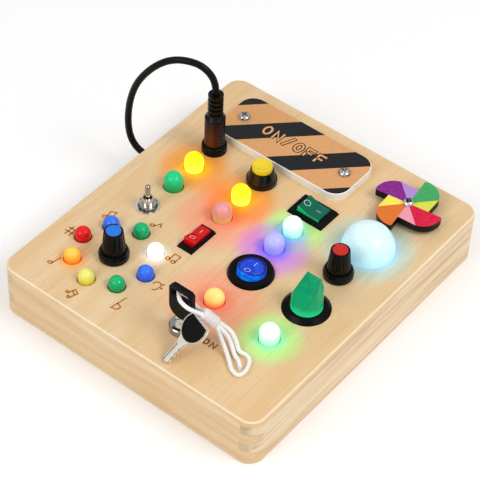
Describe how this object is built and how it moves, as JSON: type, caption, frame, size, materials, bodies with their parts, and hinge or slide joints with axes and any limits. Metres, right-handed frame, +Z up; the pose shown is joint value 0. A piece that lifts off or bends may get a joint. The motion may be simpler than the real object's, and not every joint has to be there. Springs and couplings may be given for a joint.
{
  "type": "wooden busy board",
  "caption": "flat wooden activity box with toggle, rocker, push, rotary and key switches, coloured indicator lamps, a light dome, a pinwheel and a plugged-in lead",
  "frame": {"origin": "middle of the underside of the box, on the surface that it rests on", "axes": "+X to the right along the front edge, +Y from the user to the back edge with the striped plate, +Z up"},
  "size_m": [0.1727, 0.18, 0.0849],
  "materials": {
    "bamboo": "satin",
    "tray_plastic": "matte",
    "cell_wrap": "gloss",
    "circuit_green": "satin",
    "screw_steel": "polished",
    "nut_steel": "polished",
    "lock_chrome": "polished",
    "key_nickel": "satin",
    "striped_plate": "gloss",
    "black_plastic": "satin",
    "knob_black": "matte",
    "cord_black": "satin",
    "rotary_metal": "satin",
    "blue_cap": "gloss",
    "red_cap": "gloss",
    "yellow_cap": "gloss",
    "red_clear": "gloss",
    "green_clear": "gloss",
    "blue_clear": "gloss",
    "yellow_lens": "gloss",
    "green_lens": "gloss",
    "pink_lens": "gloss",
    "white_lens": "gloss",
    "violet_lens": "gloss",
    "orange_lens": "gloss",
    "blue_lens": "gloss",
    "red_lens": "gloss",
    "dome_white": "satin",
    "spinner_paint": "satin",
    "lanyard_white": "matte",
    "bead_clear": "gloss"
  },
  "bodies": {
    "box": {"top_panel": "bamboo", "front_wall": "bamboo", "back_wall": "bamboo", "left_wall": "bamboo", "right_wall": "bamboo", "bottom_panel": "bamboo", "battery_holder": "tray_plastic", "battery_cover": "tray_plastic", "battery_cells": "cell_wrap", "circuit_board": "circuit_green", "wood_screws": "screw_steel", "pinwheel_screw": "screw_steel", "panel_nuts": "nut_steel", "key_lock": "lock_chrome", "spare_key_blade": "key_nickel", "label_plate": "striped_plate", "power_socket": "black_plastic", "button_bezel": "black_plastic", "red_switch_housing": "black_plastic", "green_switch_housing": "black_plastic", "blue_switch_housing": "black_plastic", "selector_base": "black_plastic", "spare_key_head": "black_plastic", "cord_grommet": "black_plastic", "power_cord": "cord_black", "music_switch": "rotary_metal", "dimmer_pot": "rotary_metal", "toggle_body": "rotary_metal", "lamp_yellow": "yellow_lens", "ring_lamp_yellow": "yellow_lens", "lamp_green": "green_lens", "ring_lamp_green": "green_lens", "lamp_pink": "pink_lens", "lamp_white": "white_lens", "ring_lamp_white": "white_lens", "lamp_violet": "violet_lens", "lamp_orange": "orange_lens", "ring_lamp_orange": "orange_lens", "ring_lamp_blue": "blue_lens", "ring_lamp_red": "red_lens", "dome_diffuser": "dome_white", "lanyard_ring": "lanyard_white", "lanyard_loop": "lanyard_white", "lanyard_bead": "bead_clear"},
    "toggle": {"toggle_lever": "rotary_metal"},
    "button": {"button_cap": "yellow_cap"},
    "red_rocker": {"red_rocker": "red_clear"},
    "green_rocker": {"green_rocker": "green_clear"},
    "blue_rocker": {"blue_rocker": "blue_clear"},
    "music_knob": {"music_knob": "knob_black", "music_knob_cap": "blue_cap"},
    "dimmer_knob": {"dimmer_knob": "knob_black", "dimmer_knob_cap": "red_cap"},
    "selector": {"selector_handle": "green_clear"},
    "pinwheel": {"pinwheel": "spinner_paint"},
    "key": {"lock_core": "lock_chrome", "key_blade": "key_nickel", "key_head": "black_plastic"},
    "plug": {"plug_body": "cord_black", "plug_barrel": "key_nickel"}
  },
  "joints": [
    {"name": "toggle_tilt", "type": "hinge", "parent": "box", "child": "toggle", "pos_m": [-0.049, -0.0149, 0.0334], "axis": [1, 0, 0], "range_deg": [-12.5, 12.5]},
    {"name": "button_press", "type": "slide", "parent": "box", "child": "button", "axis": [0, 0, -1], "range_m": [0, 0.0025], "stiffness_N_per_m": 400, "springref_m": -0.0002},
    {"name": "red_rock", "type": "hinge", "parent": "box", "child": "red_rocker", "pos_m": [-0.0163, -0.017, 0.0295], "axis": [1, 0, 0], "range_deg": [0, 20]},
    {"name": "green_rock", "type": "hinge", "parent": "box", "child": "green_rocker", "pos_m": [0.0152, 0.0341, 0.0295], "axis": [0, -1, 0], "range_deg": [0, 20]},
    {"name": "blue_rock", "type": "hinge", "parent": "box", "child": "blue_rocker", "pos_m": [0.0172, -0.0171, 0.0295], "axis": [1, 0, 0], "range_deg": [0, 20]},
    {"name": "music_knob_turn", "type": "hinge", "parent": "box", "child": "music_knob", "pos_m": [-0.0394, -0.0508, 0.0295], "axis": [0, 0, 1], "range_deg": [-270, 45]},
    {"name": "dimmer_turn", "type": "hinge", "parent": "box", "child": "dimmer_knob", "pos_m": [0.0494, 0.0088, 0.0295], "axis": [0, 0, 1], "range_deg": [-214, 86]},
    {"name": "selector_turn", "type": "hinge", "parent": "box", "child": "selector", "pos_m": [0.0507, -0.0177, 0.0295], "axis": [0, 0, 1], "range_deg": [0, 90]},
    {"name": "pinwheel_spin", "type": "hinge", "parent": "box", "child": "pinwheel", "pos_m": [0.0503, 0.0644, 0.0295], "axis": [0, 0, 1], "continuous": true},
    {"name": "key_turn", "type": "hinge", "parent": "box", "child": "key", "pos_m": [0.0147, -0.0654, 0.0295], "axis": [0, 0, 1], "range_deg": [0, 90]},
    {"name": "plug_pull", "type": "slide", "parent": "box", "child": "plug", "axis": [0, 0, 1], "range_m": [0, 0.0095], "deforming": ["power_cord"]}
  ]
}
